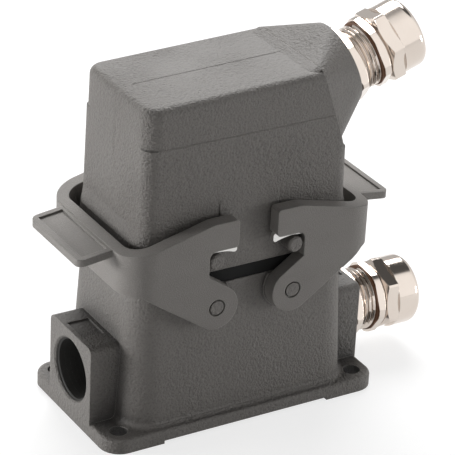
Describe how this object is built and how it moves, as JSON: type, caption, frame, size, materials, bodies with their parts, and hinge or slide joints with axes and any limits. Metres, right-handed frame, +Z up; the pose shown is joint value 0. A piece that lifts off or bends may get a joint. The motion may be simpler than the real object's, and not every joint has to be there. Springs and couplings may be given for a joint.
{
  "type": "rectangular connector",
  "caption": "Heavy duty rectangular connector: a surface housing and a hood with an angled cable entry, held by two locking levers, with cable glands and mated contact inserts.",
  "frame": {"origin": "middle of the four base screw holes, on the mounting plane", "axes": "+X along the long side towards the glands, +Y away from the front, +Z up out of the panel"},
  "size_m": [0.1258, 0.0532, 0.1167],
  "materials": {
    "cast_coat": "textured grey powder coat on die cast aluminium",
    "lever_plastic": "satin grey moulding",
    "black_rubber": "matt",
    "insert_plastic": "light grey moulding",
    "zinc_steel": "zinc plated",
    "contact_brass": "silver plated brass",
    "nickel": "bright nickel plate on brass",
    "brown_washer": "matt",
    "cage_nylon": "natural nylon",
    "stainless": "stamped stainless steel"
  },
  "bodies": {
    "connector": {"housing": "cast_coat", "housing_seal": "black_rubber", "hood": "cast_coat", "female_insert": "insert_plastic", "male_insert": "insert_plastic", "female_fixing_screws": "zinc_steel", "male_fixing_screws": "zinc_steel", "female_terminal_screws": "zinc_steel", "male_terminal_screws": "zinc_steel", "female_earth_bracket": "zinc_steel", "male_earth_bracket": "zinc_steel", "female_earth_screw": "zinc_steel", "male_earth_screw": "zinc_steel", "female_contact_01": "contact_brass", "female_contact_02": "contact_brass", "female_contact_03": "contact_brass", "female_contact_04": "contact_brass", "female_contact_05": "contact_brass", "female_contact_06": "contact_brass", "female_contact_07": "contact_brass", "female_contact_08": "contact_brass", "female_contact_09": "contact_brass", "female_contact_10": "contact_brass", "male_contact_01": "contact_brass", "male_contact_02": "contact_brass", "male_contact_03": "contact_brass", "male_contact_04": "contact_brass", "male_contact_05": "contact_brass", "male_contact_06": "contact_brass", "male_contact_07": "contact_brass", "male_contact_08": "contact_brass", "male_contact_09": "contact_brass", "male_contact_10": "contact_brass", "lower_gland_locknut": "nickel", "lower_gland_body": "nickel", "lower_gland_washer": "brown_washer", "lower_gland_cage": "cage_nylon", "lower_gland_sleeve": "black_rubber", "upper_gland_locknut": "nickel", "upper_gland_body": "nickel", "upper_gland_washer": "brown_washer", "upper_gland_cage": "cage_nylon", "upper_gland_sleeve": "black_rubber"},
    "right_lever": {"lever_right": "lever_plastic", "hook_insert_right_front": "stainless", "hook_insert_right_back": "stainless"},
    "left_lever": {"lever_left": "lever_plastic", "hook_insert_left_front": "stainless", "hook_insert_left_back": "stainless"},
    "lower_cap": {"lower_gland_cap": "nickel"},
    "upper_cap": {"upper_gland_cap": "nickel"}
  },
  "joints": [
    {"name": "right_lever_hinge", "type": "hinge", "parent": "connector", "child": "right_lever", "pos_m": [0.013, 0, 0.0426], "axis": [0, 1, 0], "range_deg": [0, 36]},
    {"name": "left_lever_hinge", "type": "hinge", "parent": "connector", "child": "left_lever", "pos_m": [-0.013, 0, 0.0426], "axis": [0, -1, 0], "range_deg": [0, 36]},
    {"name": "lower_cap_turn", "type": "hinge", "parent": "connector", "child": "lower_cap", "pos_m": [0.066, 0, 0.0165], "axis": [1, 0, 0], "continuous": true},
    {"name": "upper_cap_turn", "type": "hinge", "parent": "connector", "child": "upper_cap", "pos_m": [0.05982, 0, 0.10473], "axis": [0.9483, 0, 0.3173], "continuous": true}
  ]
}
